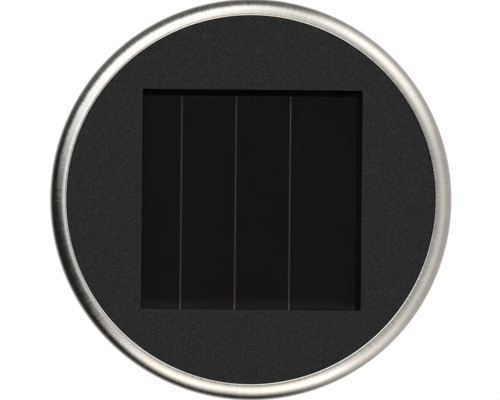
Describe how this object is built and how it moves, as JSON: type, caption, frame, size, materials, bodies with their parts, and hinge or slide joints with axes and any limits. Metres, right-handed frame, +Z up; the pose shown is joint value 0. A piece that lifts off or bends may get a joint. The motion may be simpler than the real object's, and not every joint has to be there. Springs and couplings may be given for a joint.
{
  "type": "solar path light",
  "caption": "Round solar path light: a steel-rimmed black head with a square solar panel in its top, on a clear fluted lens, a steel pole and a ground spike.",
  "frame": {"origin": "on the lamp's axis at ground level, in the plane of the underside of the spike's flange", "axes": "+Z up along the pole; +Y towards the top edge of the solar panel as the picture shows it; +X to the right in the picture"},
  "size_m": [0.12, 0.12, 0.4829],
  "materials": {
    "brushed_steel": "fine brushed",
    "top_plastic": "fine grained",
    "body_plastic": "satin",
    "spike_plastic": "satin",
    "clear_plastic": "clear",
    "bright_plating": "mirror bright",
    "seal_rubber": "matt",
    "screw_steel": "zinc plated",
    "foam": "closed-cell foam",
    "panel_backing": "bare laminate",
    "silicon": "dark film",
    "clear_resin": "clear",
    "battery_sleeve": "plain shrink sleeve",
    "nickel": "nickel plated",
    "board_green": "solder mask",
    "led_resin": "clear resin",
    "switch_steel": "tin plated",
    "knob_plastic": "satin",
    "chip_resin": "moulded",
    "choke_resin": "dipped",
    "capacitor_resin": "dipped",
    "red_wire": "wire insulation",
    "black_wire": "wire insulation"
  },
  "bodies": {
    "spike": {"ground_spike": "spike_plastic"},
    "pole": {"pole": "brushed_steel"},
    "lens": {"lens": "clear_plastic", "lens_base": "body_plastic", "cone_reflector": "bright_plating"},
    "seal": {"seal_ring": "seal_rubber"},
    "head": {"rim_shell": "brushed_steel", "top_housing": "top_plastic", "lower_housing": "body_plastic", "housing_screws": "screw_steel", "panel_foam": "foam", "panel_board": "panel_backing", "solar_cells": "silicon", "panel_cover": "clear_resin", "battery": "battery_sleeve", "battery_contact": "nickel", "spring_plate": "nickel", "battery_spring": "nickel", "circuit_board": "board_green", "board_screws": "screw_steel", "led": "led_resin", "reflector": "bright_plating", "switch_body": "switch_steel", "led_driver": "chip_resin", "inductor": "choke_resin", "capacitor": "capacitor_resin", "positive_leads": "red_wire", "negative_leads": "black_wire"},
    "switch": {"switch_knob": "knob_plastic"},
    "door": {"battery_door": "body_plastic"}
  },
  "joints": [
    {"name": "pole_lift", "type": "slide", "parent": "spike", "child": "pole", "axis": [0, 0, 1], "range_m": [0, 0.06]},
    {"name": "lens_lift", "type": "slide", "parent": "pole", "child": "lens", "axis": [0, 0, 1], "range_m": [0, 0.05]},
    {"name": "head_lift", "type": "slide", "parent": "lens", "child": "seal", "axis": [0, 0, 1], "range_m": [0, 0.06]},
    {"name": "head_twist", "type": "hinge", "parent": "seal", "child": "head", "pos_m": [0, 0, 0.3076], "axis": [0, 0, 1], "range_deg": [-22, 0]},
    {"name": "switch_slide", "type": "slide", "parent": "head", "child": "switch", "axis": [1, 0, 0], "range_m": [0, 0.002]},
    {"name": "door_hinge", "type": "hinge", "parent": "head", "child": "door", "pos_m": [0, -0.0134, 0.3094], "axis": [1, 0, 0], "range_deg": [0, 80]}
  ]
}
